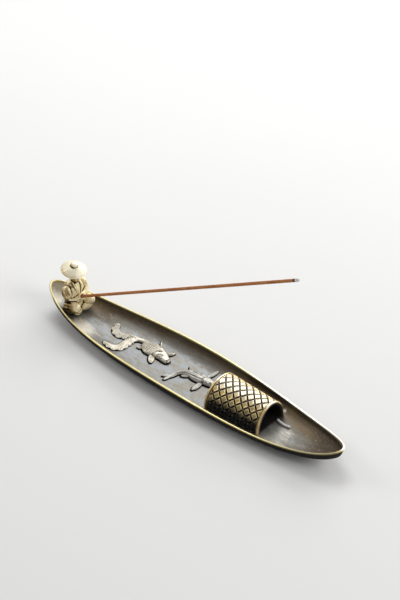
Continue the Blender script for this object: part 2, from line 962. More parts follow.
@dataclass(frozen=True)
class Wear:
    """Where the boat's finish changes: each pair is where a change starts and where it is full.

    A pair in _x is in millimetres from the middle of the boat, towards the stern
    where its name says stern and towards the bow elsewhere. One in _y is in
    millimetres across the boat, and one in _across is a share of the half breadth
    there, plus on the far side. rim_below is the depth under the rim line, and
    rim_out and wall_share are shares of the half axes. knees and stern_patch hold
    the middle and the width of a hump along X, and spot is a place on the plan.
    """

    rim_below: Span = (0.66, 0.42)
    rim_out: Span = (0.90, 0.925)
    rim_far_y: Span = (0, 4)
    rim_far_w: float = 0.35
    rim_dull_x: Span = (62, 96)
    rim_bright_x: Span = (10, 75)
    rim_bright_y: Span = (-5, 1)
    wall_share: Span = (0.45, 1.0)
    wall_across: Span = (-0.3, 0.3)
    far_across: Span = (0.1, 0.6)
    far_stern_x: Span = (58, 80)
    far_bow_x: Span = (15, 45)
    bow_wall_x: Span = (70, 84)
    knees: Span = (-60, 16)
    bow_x: Span = (80, 106)
    stern_patch: Span = (-80, 12)
    patch_across: Span = (-0.2, 0.3)
    near_across: Span = (0.0, 0.5)
    stern_x: Span = (60, 86)
    stern_across: Span = (0.0, 0.45)
    man_half: float = 9.0
    ahead_x: Span = (62, 66)
    ahead_end_x: Span = (72, 98)
    spot: Span = (64.2, 14.8)
    spot_size: float = 1.5
    stern_tip_x: Span = (104, 111)


@dataclass
class Boat:
    """The cast boat: a long bowl with a rising rim, in millimetres."""

    length: float = 240.0
    beam: float = 46.6
    rim_h: float = 12.0
    sheer: float = 3.3
    curl: float = 1.9
    wall: float = 1.5
    floor: float = 1.6
    fullness: float = 2.8
    foot_sink: float = 0.6
    round_drop: float = 0.55
    around: int = 480
    foot_rings: int = 6
    side_rings: int = 30
    rim_rings: int = 11
    floor_rings: int = 44
    screw_x: float = -99.0
    screw_bore: float = 1.55
    screw_head_bore: float = 2.91
    screw_head_z: float = 5.8
    shade_half: float = 13.5
    wear: Wear = field(default_factory=Wear)
    finish: BoatBronze = field(default_factory=BoatBronze)

    def rim_z(self, a: Array) -> Array:
        """Height of the rim at bearing a: a mean, a rise to the tips and a sharper curl."""
        return self.rim_h + self.sheer * np.cos(2 * a) + self.curl * np.cos(4 * a)

    def bowl(self, s: Array) -> Array:
        """Depth at share s of the half axes: the superellipse of the fullness."""
        return np.maximum(0, 1 - np.clip(s, 0, 1) ** self.fullness) ** (1 / self.fullness)

    def at(self, s: Array, a: Array, inset: float, low: float) -> Array:
        """A point of a bowl set in from the outer edge, whose lowest level is low.

        Args:
            s: Share of the half axes.
            a: Bearing.
            inset: Distance from the outer edge.
            low: Height of the lowest point.

        Returns:
            Points as (..., 3).
        """
        z = self.rim_z(a) - (self.rim_z(a) - low) * self.bowl(s)
        return np.stack([(self.length / 2 - inset) * s * np.cos(a),
                         (self.beam / 2 - inset) * s * np.sin(a), z], -1)

    def share(self, x: Array, y: Array) -> Array:
        """Share of the inner half axes at a place on the plan."""
        return np.minimum(np.hypot(x / (self.length / 2 - self.wall),
                                   y / (self.beam / 2 - self.wall)), 0.999)

    def floor_z(self, x: Array, y: Array) -> Array:
        """Height of the inside of the boat at a place on its plan."""
        a = np.arctan2(y / (self.beam / 2 - self.wall), x / (self.length / 2 - self.wall))
        top = self.rim_z(a)
        return top - (top - self.floor) * self.bowl(self.share(x, y))

    def shell(self) -> Shell:
        """The whole skin: flat foot, round outside, rolled rim and inside.

        Rings of the bearing run from the middle of the foot out over the rim
        and down to the middle of the floor.
        """
        a = np.linspace(0, 2 * math.pi, self.around, endpoint=False)
        rim = self.rim_z(a)
        foot = (1 - (rim / (rim + self.foot_sink)) ** self.fullness) ** (1 / self.fullness)
        rings = []
        for t in np.linspace(0.15, 1, self.foot_rings):
            p = self.at(foot * t, a, 0, -self.foot_sink)
            p[:, 2] = 0
            rings.append(p)
        for t in np.linspace(0, 1, self.side_rings)[1:-1] ** 0.8:
            rings.append(self.at(foot + (1 - foot) * t, a, 0, -self.foot_sink))
        for q in np.linspace(0, math.pi, self.rim_rings):
            inset = self.wall * (1 - math.cos(q)) / 2
            drop = self.round_drop * (1 - math.sin(q) ** 0.7)
            rings.append(np.stack([(self.length / 2 - inset) * np.cos(a),
                                   (self.beam / 2 - inset) * np.sin(a), rim - drop], -1))
        for s in 1 - np.linspace(0, 1, self.floor_rings)[1:-1] ** 1.6:
            rings.append(self.at(np.full_like(a, s), a, self.wall, self.floor))
        return skin(np.array(rings))

    def post(self, radius: float, low: float, high: float) -> Shell:
        """A straight cylinder on the screw's axis, between two heights."""
        a = np.linspace(0, 2 * math.pi, 64, endpoint=False)
        ring = np.stack([self.screw_x + radius * np.cos(a), radius * np.sin(a), 0 * a], -1)
        return skin(np.array([ring + (0, 0, low), ring + (0, 0, high)]))

    def rim_mask(self, x: Array, y: Array, z: Array) -> Array:
        """The polished rim: a band below the rim line that is wider on the far side.

        Args:
            x: X in millimetres.
            y: Y in millimetres.
            z: Z in millimetres.

        Returns:
            1 on the rim, 0 off it.
        """
        w = self.wear
        below = self.rim_z(np.arctan2(y / self.beam, x / self.length)) - z
        out = np.hypot(x / (self.length / 2), y / (self.beam / 2))
        wide = w.rim_far_w * step(y, *w.rim_far_y)
        low, high = w.rim_out
        return step(below - wide, *w.rim_below) * step(out, low - 0.02 * wide, high - 0.02 * wide)

    def rim_tone(self, x: Array, y: Array) -> Array:
        """How bright the rim is: duller on the near side of the bow, brightest on the far side.

        Args:
            x: X in millimetres.
            y: Y in millimetres.

        Returns:
            0 for tarnished, 1 for polished and over 1 for pale.
        """
        w = self.wear
        near = 1 - 0.75 * step(x, *w.rim_dull_x)
        far = 1.1 + 0.5 * step(x, *w.rim_bright_x)
        return near + (far - near) * step(y, *w.rim_bright_y)

    def wall_mask(self, x: Array, y: Array, across: Array) -> Array:
        """How brown the inside is: more towards the rim, on the far side and by the knees.

        Args:
            x: X in millimetres.
            y: Y in millimetres.
            across: Share of the half breadth there, plus on the far side.

        Returns:
            0 for the grey floor, about 1 for the brownest wall.
        """
        w = self.wear
        ends = step(-x, *w.far_stern_x) + step(x, *w.far_bow_x)
        aged = ramp(self.share(x, y), *w.wall_share) * (0.4 + 0.6 * step(across, *w.wall_across))
        aged = aged + 0.30 * step(across, *w.far_across) * ends + 0.2 * step(x, *w.bow_wall_x)
        return aged + 0.22 * bell(x - w.knees[0], w.knees[1]) * step(-across, *w.near_across)

    def bow_mask(self, x: Array, across: Array) -> Array:
        """How much of the bow's brown there is: full at the bow, half in a patch astern.

        Args:
            x: X in millimetres.
            across: Share of the half breadth there, plus on the far side.

        Returns:
            0 to 1.
        """
        w = self.wear
        patch = bell(x - w.stern_patch[0], w.stern_patch[1]) * step(across, *w.patch_across)
        return step(x, *w.bow_x) + 0.5 * patch

    def glow_mask(self, x: Array, y: Array, across: Array) -> Array:
        """How rubbed the inside is: by the man, ahead of the canopy and at the stern's tip.

        Args:
            x: X in millimetres.
            y: Y in millimetres.
            across: Share of the half breadth there, plus on the far side.

        Returns:
            0 for aged, 1 for bright.
        """
        w = self.wear
        glow = (step(-x, *w.stern_x) * step(-across, *w.stern_across)
                * (1 - 0.8 * bell(x - self.screw_x, w.man_half)))
        glow = glow + (0.62 * step(x, *w.ahead_x) * (1 - step(x, *w.ahead_end_x))
                       * (1 - step(across, *w.far_across)))
        glow = glow + 1.2 * bell(np.hypot(x - w.spot[0], y - w.spot[1]), w.spot_size)
        return np.maximum(glow, 1.1 * step(-x, *w.stern_tip_x))

    def outside(self, x: Array, y: Array, normal: Array) -> Array:
        """Finds the outside: the surface looks down, or away from the middle of the boat.

        Args:
            x: X in millimetres.
            y: Y in millimetres.
            normal: Vertex normals as (n, 3).

        Returns:
            True on the outside.
        """
        away = unit(np.stack([x / self.length ** 2, y / self.beam ** 2], -1))
        return (normal[:, 2] < -0.02) | ((normal[:, :2] * away).sum(1) > 0.5)

    def build(self) -> bpy.types.Object:
        """Makes the boat, bores it for the screw and writes the masks of its finish.

        The hollow mask is 1 where soot can lie and 1.3 on the outside.
        """
        thing = self.shell().build("boat_shell", 1)
        cut(thing, [self.post(self.screw_bore, -1, 12),
                    self.post(self.screw_head_bore, -1, self.screw_head_z)])
        x, y, z = points_of(thing).T
        outside = self.outside(x, y, normals_of(thing))
        half = np.sqrt(np.maximum(1 - (x / (self.length / 2)) ** 2, 0.01)) * self.beam / 2
        across = y / half
        rim = self.rim_mask(x, y, z)
        tone = np.where(outside, 0, self.glow_mask(x, y, across))
        shut = step(self.shade_half - np.abs(y), 0, 1.5)
        write_mask(thing, Mask.RIM, rim)
        write_mask(thing, Mask.TONE, np.where(rim > 0.2, self.rim_tone(x, y), tone))
        write_mask(thing, Mask.WALL, np.where(outside, 0.9, self.wall_mask(x, y, across)))
        write_mask(thing, Mask.ALONG, np.where(outside, 0, self.bow_mask(x, across)))
        write_mask(thing, Mask.HOLLOW, np.where(outside, 1.3, shut))
        to_metres(thing)
        sharpen(thing, 50)
        hand_over(thing, Body.BOAT, Slot.HULL, self.finish.material(), "hull")
        return thing


# ---------------------------------------------------------------- the canopy


@dataclass(frozen=True)
class WovenBrass:
    """The canopy's brass: golden diamonds with rubbed borders between black grooves."""

    name: str = "woven_brass"
    pale: Colour = (0.94, 0.89, 0.77)
    gold: Colour = (0.92, 0.73, 0.37)
    middle: Colour = (0.46, 0.33, 0.13)
    smoke: Colour = (0.030, 0.029, 0.028)
    knot: Colour = (0.16, 0.155, 0.15)
    groove: Colour = (0.010, 0.009, 0.008)
    inside: Colour = (0.085, 0.075, 0.062)

    def material(self) -> bpy.types.Material:
        """Builds the finish: pale at the crown, golden down the sides, smoked at the feet."""
        f = Finish(self.name)
        s = f.sketch
        place = s.place()
        level = s.add(s.mask(Mask.TONE), s.swing(s.noise(place, 260.0, 3.0), 0.22))
        rubbed = s.between(level, 0.58, 0.86)
        smoked = s.between(level, 0.59, 0.20)
        bright = s.mix(smoked, s.mix(rubbed, self.gold, self.pale), self.smoke)
        middle = s.mix(smoked, s.mix(rubbed, self.middle, self.gold), self.smoke)
        aged = f.use(patina_group(), Place=place, Bright=bright, Middle=middle,
                     Dark=self.groove, Hollow=s.mask(Mask.HOLLOW), Clouds=0.2,
                     Brown_from=0.26, Brown_to=0.62, Scale=1100.0)
        knots = s.times(s.mask(Mask.ALONG), 0.8)
        colour = s.mix(knots, aged.outputs["Color"], self.knot)
        f.set(Base_Color=s.mix(s.mask(Mask.WALL), colour, self.inside), Metallic=0.85,
              Roughness=s.add(aged.outputs["Rough"], 0.30))
        f.bump(aged.outputs["Height"], 0.3, 0.00015)
        return f.material


@dataclass
class Canopy:
    """The arched mat canopy, with its woven diamonds and beaded ends, in millimetres."""

    boat: Boat
    rear_x: float = 25.5
    length: float = 40.3
    rear_w: float = 15.0
    front_w: float = 12.2
    rear_h: float = 19.0
    front_h: float = 20.3
    foot: float = 3.8
    thick: float = 1.1
    bead: float = 1.9
    proud: float = 0.25
    weave_along: int = 7
    weave_round: int = 7
    weave_h: float = 0.8
    groove: Span = (0.06, 0.17)
    border: Span = (0.19, 0.31)
    knot: Span = (0.10, 0.19)
    twist: float = math.radians(5.8)
    lead: float = 0.3
    drop: float = 4.0
    gap: float = 0.3
    bead_columns: int = 14
    weave_columns: int = 234
    inside_columns: int = 44
    finish: WovenBrass = field(default_factory=WovenBrass)

    def arch(self, u: Array, q: Array, h: Array) -> Array:
        """A point of the arch: a half oval that tapers and rises along X.

        Args:
            u: Share of the length.
            q: Bearing, from one foot over the top to the other.
            h: Height off the shell.

        Returns:
            Points as (..., 3).
        """
        w = self.rear_w + (self.front_w - self.rear_w) * u + h
        top = self.rear_h + (self.front_h - self.rear_h) * u + h
        x = self.rear_x + self.length * u
        z = self.foot + (top - self.foot) * np.sin(np.clip(q, 0, math.pi))
        return np.stack([x + 0 * q, -w * np.cos(np.clip(q, 0, math.pi)), z], -1)

    def weave(self, u: Array, q: Array) -> tuple[Array, Array, Array]:
        """Height and masks of the woven skin.

        Two slanting families of grooves cross in lattice coordinates a and b. The
        distance to the nearer groove lifts each diamond, its rim stands a little
        over its middle, and a low knot fills each crossing.

        Args:
            u: Share of the length.
            q: Bearing round the arch.

        Returns:
            Height over the groove, hollow mask and knot mask.
        """
        i = (u - self.lead * self.bead / self.length) * 2 * self.weave_along
        j = (q - self.twist * (1 - u)) / math.pi * 2 * self.weave_round
        a = np.abs((i + j) / 2 - np.round((i + j) / 2))
        b = np.abs((i - j) / 2 - np.round((i - j) / 2))
        near = np.minimum(a, b)
        far = np.maximum(a, b)
        lift = step(near, *self.groove)
        rim = lift * (1 - step(near, *self.border))
        height = self.weave_h * (lift * 0.84 + 0.16 * rim)
        knot = 1 - step(far, *self.knot)
        height = np.maximum(height, self.weave_h * 0.55 * knot)
        hollow = 1.0 - 0.80 * lift + 0.30 * lift * (1 - rim)
        return height, hollow, knot * (1 - lift)

    def section(self) -> tuple[Array, Array, Array]:
        """The columns of the section: a bead, the weave, a bead and back along the inside.

        Returns:
            Share of the length, zone and turn round the bead (-1 to 1) of each column.
        """
        bead, proud = self.bead / self.length, self.proud / self.length
        u = [np.linspace(-proud, bead, self.bead_columns),
             np.linspace(bead, 1 - bead, self.weave_columns + 2)[1:-1],
             np.linspace(1 - bead, 1 + proud, self.bead_columns),
             np.linspace(1, 0, self.inside_columns)]
        zones = (Zone.BEAD, Zone.WEAVE, Zone.BEAD, Zone.INSIDE)
        zone = [np.full(len(part), kind) for part, kind in zip(u, zones)]
        turn = [np.linspace(-1, 1, len(part)) if kind == Zone.BEAD else np.zeros(len(part))
                for part, kind in zip(u, zones)]
        return np.concatenate(u), np.concatenate(zone), np.concatenate(turn)

    def shell(self) -> tuple[Shell, dict[Mask, Array]]:
        """The arch: its section carried round the bearing, with a hem that drops to the floor.

        Returns:
            The skin, and its hollow, knot (along), inside (wall) and level (tone) masks.
        """
        hem = np.array([4, 9, 14])
        q = np.radians(np.concatenate([-hem[::-1], np.linspace(0, 180, 250), 180 + hem]))[:, None]
        u, zone, turn = (part[None] for part in self.section())
        weave, hollow, knot = self.weave(u, q + 0 * u)
        round_over = 0.25 - 0.95 * (1 - np.sqrt(np.maximum(0, 1 - np.abs(turn) ** 2.4)))
        crease = bell(turn - 0.55, 0.16) * (u < 0.5) + bell(turn + 0.55, 0.16) * (u > 0.5)
        beads = round_over - 0.38 * crease
        under = -self.thick - self.weave_h
        height = np.where(zone == Zone.WEAVE, weave - self.weave_h,
                          np.where(zone == Zone.BEAD, beads, under))
        hollow = np.where(zone == Zone.BEAD, 0.36 + 0.9 * crease, hollow)
        p = self.arch(u, q, height)
        p[..., 2] -= np.maximum(0, np.maximum(-q, q - math.pi)) / math.radians(hem[-1]) * self.drop
        p[..., 2] = np.maximum(p[..., 2], self.boat.floor_z(p[..., 0], p[..., 1]) + self.gap)
        outermost = np.abs(u - 0.5) > 0.5 + 0.9 * self.proud / self.length
        within = (zone == Zone.INSIDE) | ((zone == Zone.BEAD) & outermost)
        level = 1 - np.abs(q / (math.pi / 2) - 1)
        level = np.where(zone == Zone.BEAD, 0.52 + 0.42 * step(level, 0.66, 0.96), level)

        def flat(values: Array) -> Array:
            """One value a vertex, then one for each of the two fan middles."""
            middles = [0.9, 0.9]
            return np.r_[np.broadcast_to(values, p.shape[:2])[:, ::-1].ravel(), middles]

        masks = {Mask.HOLLOW: hollow, Mask.ALONG: np.where(zone == Zone.WEAVE, knot, 0),
                 Mask.WALL: within.astype(float), Mask.TONE: level}
        return skin(p[:, ::-1]), {mask: flat(values) for mask, values in masks.items()}

    def build(self) -> bpy.types.Object:
        """Makes the canopy and its masks."""
        shell, masks = self.shell()
        thing = shell.build("woven_canopy")
        for mask, values in masks.items():
            write_mask(thing, mask, values)
        sharpen(thing, 60)
        hand_over(thing, Body.CANOPY, Slot.CANOPY, self.finish.material(), "canopy")
        return thing


# ---------------------------------------------------------------- the carp


@dataclass
class Carp:
    """A carp in low relief on the boat's floor, in millimetres.

    Each form is a row of stations: x, y, half width and height over the floor.
    A rubbed place is a point, its size and how much brighter it is.
    """

    boat: Boat
    name: str
    node: str
    body: Sequence
    fins: Sequence
    lobes: Sequence
    eye: Sequence[float]
    arcs: Sequence[Sequence[float]]
    head: float
    folds: bool = False
    rubbed: Sequence = ()
    lift: float = 0.03
    fin_h: float = 1.1
    line_h: float = 0.22
    line_w: float = 0.62
    fin_line_w: float = 0.5
    line_shift: Span = (-0.14, -0.46)
    scallop_pitch: float = 3.4
    voxel: float = 0.13
    finish: CastBrass | None = None

    def relief(self, stations: Sequence, steps: int, sides: int, carve: Relief | None = None,
               crest: float = 0.7, scallop: float = 0.0, spread: float = 0.0,
               low: float | None = None) -> Shell:
        """A low form that follows the floor: half a squared oval over it at each station.

        Args:
            stations: Rows of x, y, half width and height.
            steps: Rings between two stations.
            sides: Points across.
            carve: Height added at (t, across), where across runs from -1 to 1.
            crest: Power of the oval: less is flatter on top and steeper at the sides.
            scallop: Depth in millimetres of the waves along the left edge.
            spread: Distance by which the outline is let out.
            low: If given, the one height of a solder line, which lies a little to the near side.

        Returns:
            The closed form.
        """
        p = np.asarray(stations, float)
        spans = len(p) - 1
        t = np.linspace(0, spans, spans * steps + 1)
        at = blend(p, t)
        ahead, behind = np.minimum(t + 0.05, spans), np.maximum(t - 0.05, 0)
        forward = unit(blend(p[:, :2], ahead) - blend(p[:, :2], behind))
        q = np.linspace(0, math.pi, sides)[None]
        gone_mm = np.r_[0, np.cumsum(np.hypot(*np.diff(at[:, :2], axis=0).T))][:, None]
        wave = scallop * (np.abs(np.sin(math.pi * gone_mm / self.scallop_pitch)) - 0.3)
        wave = wave * step(t[:, None], 0.5, 1.2)
        wide = at[:, 2:3] + spread + wave * (np.cos(q) > 0) * np.cos(q) ** 2
        x = at[:, :1] - forward[:, 1:] * wide * np.cos(q)
        y = at[:, 1:2] + forward[:, :1] * wide * np.cos(q)
        z = (at[:, 3:4] if low is None else low) * np.sin(q) ** crest
        if carve:
            z = z + carve(t[:, None], -np.cos(q)) * np.sin(q) ** 0.5
        if low is not None:
            x, y = x + self.line_shift[0], y + self.line_shift[1]
        base = self.boat.floor_z(x, y) + self.lift
        z = base + np.maximum(z, 0)
        z[:, 0] = base[:, 0]
        z[:, -1] = base[:, -1]
        top = np.stack([x, y, z], -1)
        under = np.stack([x, y, base], -1)[:, -2:0:-1]
        return skin(np.concatenate([top, under], 1))

    def scales(self, t: Array, across: Array) -> Array:
        """Overlapping scales: height falls from the rear edge of each cell of a staggered grid.

        Args:
            t: Place along the body.
            across: Place across it, from -1 to 1.

        Returns:
            Height in millimetres.
        """
        rows, lanes = 3.3, 5.0
        row = np.floor(t * rows)
        along = t * rows - row
        lane = across * lanes + 0.5 * (row % 2)
        side = np.abs(lane - np.round(lane)) * 2
        tile = along - 0.45 * (1 - side ** 2)
        tile = tile - np.floor(tile)
        return 0.26 * (1 - tile) - 0.10

    def body_shell(self) -> Shell:
        """The body: a smooth head, a line along the back, and scales or folds behind the gill."""
        last = len(self.body) - 1

        def carve(t: Array, across: Array) -> Array:
            """Scales or folds between the gill and the tail's root."""
            there = step(t, self.head - 0.35, self.head) * (1 - step(t, last - 1.2, last - 0.6))
            spine = 0.18 * bell(across, 0.12)
            if self.folds:
                wave = 0.28 * np.cos(across * 13 + 0.9 * t) * step(-across, -0.1, 0.5)
                return there * (wave + spine)
            return there * (self.scales(t, across) + spine)

        return self.relief(self.body, 26, 61, carve, 0.62)

    def fin_shell(self, root: Sequence[float], tip: Sequence[float], half: float,
                  bow: float = 0.0, spread: float = 0.0) -> Shell:
        """A fin that swells from its root to its middle and closes at its tip, with fine rays.

        Args:
            root: Where it leaves the body.
            tip: Its tip.
            half: Half width at its widest.
            bow: How far it bends to its left, as a share of its length.
            spread: If given, makes the low solder line round the fin, this wide.

        Returns:
            The closed form.
        """
        root, tip = np.asarray(root, float), np.asarray(tip, float)
        way = tip - root
        out = np.array([-way[1], way[0]])
        rows = []
        for s, w, h in ((0, 0.5, 1.2), (0.35, 0.95, 1.1), (0.70, 0.92, 1), (0.92, 0.5, 0.85),
                        (1, 0.14, 0.6)):
            c = root + way * s + out * bow * math.sin(math.pi * s)
            rows.append([c[0], c[1], half * w, self.fin_h * h])

        def rays(t: Array, across: Array) -> Array:
            """Rays that fan out towards the tip."""
            return 0.10 * np.cos(across * 13) * step(t, 0.3, 1.2)

        if spread:
            rows[-1][:2] = list(tip + unit(way) * spread)
            return self.relief(rows, 8, 17, None, 0.2, 0.0, spread, self.line_h)
        return self.relief(rows, 12, 37, rays, 0.4)

    def lobe_shell(self, stations: Sequence) -> Shell:
        """A lobe of the tail: slanting ribs and an outer edge in scallops."""

        def ribs(t: Array, across: Array) -> Array:
            """Ribs that run from the inner edge back to the outer one."""
            return 0.13 * np.cos((t * 4.6 + across * 0.8) * 2 * math.pi) * step(t, 0.6, 1.4)

        return self.relief(stations, 26, 41, ribs, 0.36, 1.15)

    def details(self) -> list[Shell]:
        """Eye and the raised arcs of the gill cover and the lips, laid on the body."""
        skin_points = self.body_shell().points

        def on_body(x: Array, y: Array) -> Array:
            """Height of the body's nearest point."""
            apart = (skin_points[:, 0] - x[:, None]) ** 2 + (skin_points[:, 1] - y[:, None]) ** 2
            return skin_points[np.argmin(apart, 1), 2]

        parts = []
        for cx, cy, radius, start, end, thick in self.arcs:
            a = np.radians(np.linspace(start, end, 11))
            x, y = cx + radius * np.cos(a), cy + radius * np.sin(a)
            r = np.full(11, thick)
            r[[0, -1]] = thick * 0.3
            parts.append(sweep(np.stack([x, y, on_body(x, y), r, r], -1), sides=12, steps=4))
        ex, ey, er = self.eye
        z = float(on_body(np.array([ex]), np.array([ey]))[0])
        parts += [egg((ex, ey, z), (er, er, 0.42), 24),
                  egg((ex, ey, z + 0.22), (er * 0.55, er * 0.55, 0.42), 20)]
        return parts

    def shading(self, p: Array) -> Array:
        """How much darker each place is: the solder line, less the rubbed places, and the arcs.

        Args:
            p: Vertices in millimetres.

        Returns:
            Values from about -1 to 1.
        """
        dark = step(p[:, 2] - self.boat.floor_z(p[:, 0], p[:, 1]), 0.62, 0.30)
        for spot, size, amount in self.rubbed:
            dark = dark - amount * (1 - dark) * bell(np.hypot(*(p[:, :2] - spot).T), size)
        for cx, cy, radius, start, end, thick in self.arcs:
            east, north = p[:, 0] - cx, p[:, 1] - cy
            a = np.degrees(np.arctan2(north, east))
            a = np.where(a < start - 90, a + 360, a)
            groove = bell(np.hypot(east, north) - radius - thick - 0.12, 0.22)
            dark = dark + 0.55 * groove * step(a, start - 8, start + 8) * step(end - a, -8, 8)
        return dark

    def build(self) -> bpy.types.Object:
        """Makes the carp as one fused casting, with its solder line, and shades its hollows."""
        parts = [self.body_shell()]
        parts += [self.fin_shell(*fin) for fin in self.fins]
        parts += [self.lobe_shell(lobe) for lobe in self.lobes]
        parts += [self.relief(rows, 10, 17, None, 0.2, 0.0, self.line_w, self.line_h)
                  for rows in [self.body, *self.lobes]]
        parts += [self.fin_shell(*fin, spread=self.fin_line_w) for fin in self.fins]
        parts += self.details()
        thing = cast(parts, self.name, self.voxel)
        p = points_of(thing)
        p[:, 2] = np.maximum(p[:, 2], self.boat.floor_z(p[:, 0], p[:, 1]) + self.lift)
        put_points(thing, p)
        to_metres(thing)
        shade_hollows(thing, [(3, 0.05), (14, 0.22), (60, 0.8)],
                      0.95 * self.shading(points_of(thing) / MM))
        hand_over(thing, Body.BOAT, Slot.CARP, self.finish.material(), self.node)
        return thing


# ---------------------------------------------------------------- the fisherman


@dataclass
class Fisherman:
    """The seated fisherman in a belted robe, in millimetres from his seat, facing +X.

    A rubbed place is a point, its size and how much brighter it is. A crease is
    the two ends of a line, its half width and how much darker it is.
    """

    boat: Boat
    seat: Sequence[float] = (-99.0, 0.0, 7.17)
    grip: Sequence[float] = (7.0, 0.0, 11.5)
    rise: float = math.radians(30.65)
    bore: float = 1.08
    bore_depth: float = 9.0
    lead_in: float = 0.95
    lead_depth: float = 0.9
    rubbed: Sequence = (((9.4, -5.8, 6.8), 2.8, 0.9), ((8.8, 6.4, 6.6), 4.4, 1.4),
                        ((0.5, 7.4, 17.2), 3.8, 0.9), ((7.0, 0.0, 12.4), 2.8, 1.0),
                        ((3.4, -5.4, 10.8), 2.2, 0.5), ((4.8, -1.2, 15.5), 4.2, 0.55),
                        ((-0.6, -8.6, 14.0), 4.0, 0.05), ((1.0, -3.4, 25.5), 2.6, -0.5),
                        ((4.0, -4.6, 19.6), 2.4, -0.3))
    creased: Sequence = (((4.6, -2.4, 22.2), (4.9, 0.1, 14.4), 0.55, 0.7),
                         ((4.2, 2.6, 18.4), (5.0, 3.9, 14.3), 0.55, 0.6),
                         ((1.6, -7.8, 8.2), (6.8, -2.4, 8.2), 1.0, 0.9),
                         ((1.0, -4.6, 22.0), (4.4, 0.0, 21.5), 1.3, 0.6))
    gap: float = 0.05
    voxel: float = 0.17
    finish: CastBrass | None = None

    def axis(self) -> Array:
        """The way that the stick points."""
        return np.array([math.cos(self.rise), 0, math.sin(self.rise)])

    def mouth(self) -> Array:
        """The mouth of the stick's hole, in the boat's own place."""
        return np.asarray(self.seat) + np.asarray(self.grip)

    def robe(self) -> list[Shell]:
        """The robe from the lap to the collar, with hanging folds, and its belt."""

        def folds(t: Array, q: Array) -> Array:
            """Soft folds that gather at the belt and fade at the shoulders."""
            hang = 0.055 * np.cos(7 * q + 0.9 * np.sin(1.7 * t)) * step(t, 0.0, 1.0)
            fine = 0.03 * np.cos(13 * q + 1.6 * t) * bell(t - 2.4, 1.3)
            return (hang + fine) * (1 - step(t, 4.4, 5.6))

        def creases(t: Array, q: Array) -> Array:
            """Cord lines round the belt."""
            return 0.012 * np.cos(3 * 2 * math.pi * t)

        body = sweep([(-0.6, 0, -3, 5.4, 7.2), (-0.6, 0, 1, 5.9, 7.8), (-0.6, 0, 5.5, 5.6, 7.2),
                      (-0.9, 0, 9.5, 5.3, 7.0), (-0.9, 0, 13.5, 5.6, 7.5),
                      (-0.8, 0, 17.4, 4.8, 7.2), (-0.4, 0, 20, 3.4, 5.0), (0, 0, 21.6, 2.2, 2.6)],
                     (1, 0, 0), 120, 12, folds)
        belt = sweep([(-0.6, 0, 6.0, 5.2, 6.9), (-0.6, 0, 6.5, 5.85, 7.45),
                      (-0.6, 0, 7.9, 5.75, 7.35), (-0.6, 0, 8.4, 5.0, 6.7)],
                     (1, 0, 0), 120, 8, creases)
        return [body, belt]

    def head(self) -> list[Shell]:
        """Neck, skull, ears and hair of a calm, quiet head."""
        skull = sweep([(0.2, 0, 19.5, 2.4, 2.4), (0.6, 0, 22.0, 2.1, 2.1),
                       (1.2, 0, 23.2, 3.1, 2.4), (1.2, 0, 24.8, 3.7, 2.9),
                       (1.0, 0, 27.2, 4.1, 3.4), (0.8, 0, 29.6, 3.8, 3.3),
                       (0.7, 0, 31.6, 1.9, 1.8)], (1, 0, 0), 64, 10)
        parts = [skull, egg((4.25, 0, 23.45), (0.75, 1.0, 0.62)),
                 egg((4.55, 0, 28.0), (0.7, 2.1, 0.5))]
        parts.append(sweep([(4.7, 0, 27.6, 0.35, 0.3), (5.15, 0, 26.6, 0.42, 0.4),
                            (5.6, 0, 25.75, 0.5, 0.62), (5.2, 0, 25.35, 0.3, 0.42)],
                           (0, 1, 0), 20, 6))
        parts.append(egg((4.75, 0, 24.62), (0.36, 0.88, 0.17), 20))
        parts.append(egg((4.68, 0, 24.28), (0.38, 0.72, 0.19), 20))
        for m in (-1, 1):
            parts.append(egg((4.35, 1.42 * m, 26.95), (0.5, 0.72, 0.36), 24))
            parts.append(egg((0.9, 3.35 * m, 26.2), (0.75, 0.42, 1.15), 24))
            parts.append(egg((0.95, 3.62 * m, 26.3), (0.45, 0.3, 0.8), 20))
            parts.append(sweep([(4.2, 2.3 * m, 27.75, 0.12, 0.2), (4.75, 1.5 * m, 28.1, 0.16, 0.3),
                                (5.0, 0.6 * m, 27.95, 0.12, 0.2)], (1, 0, 0), 12, 6))

        def strands(t: Array, q: Array) -> Array:
            """Combed hair: fine lines from the crown down."""
            return 0.02 * np.cos(26 * q + 0.6 * np.sin(2 * t))

        parts.append(sweep([(-0.9, 0, 23.6, 1.7, 2.0), (-0.6, 0, 25.6, 2.9, 3.25),
                            (-0.2, 0, 28.4, 3.35, 3.6), (0.3, 0, 30.8, 2.6, 2.7),
                            (0.6, 0, 31.6, 1.6, 1.7)], (1, 0, 0), 120, 10, strands))
        return parts

    def legs(self) -> list[Shell]:
        """Folded legs under the robe and the shins crossed in front."""

        def drape(t: Array, q: Array) -> Array:
            """Cloth pulled tight over the knee, with folds that run back from it."""
            return (0.035 * np.cos(5 * q + 0.7 * t) + 0.018 * np.cos(11 * q - t)) * (
                1 - step(t, 1.4, 2.8))

        def hem(t: Array, q: Array) -> Array:
            """Pleats of the hem under the knee."""
            return 0.05 * np.cos(7 * q + 1.5 * t) * bell(t - 1.2, 1.0)

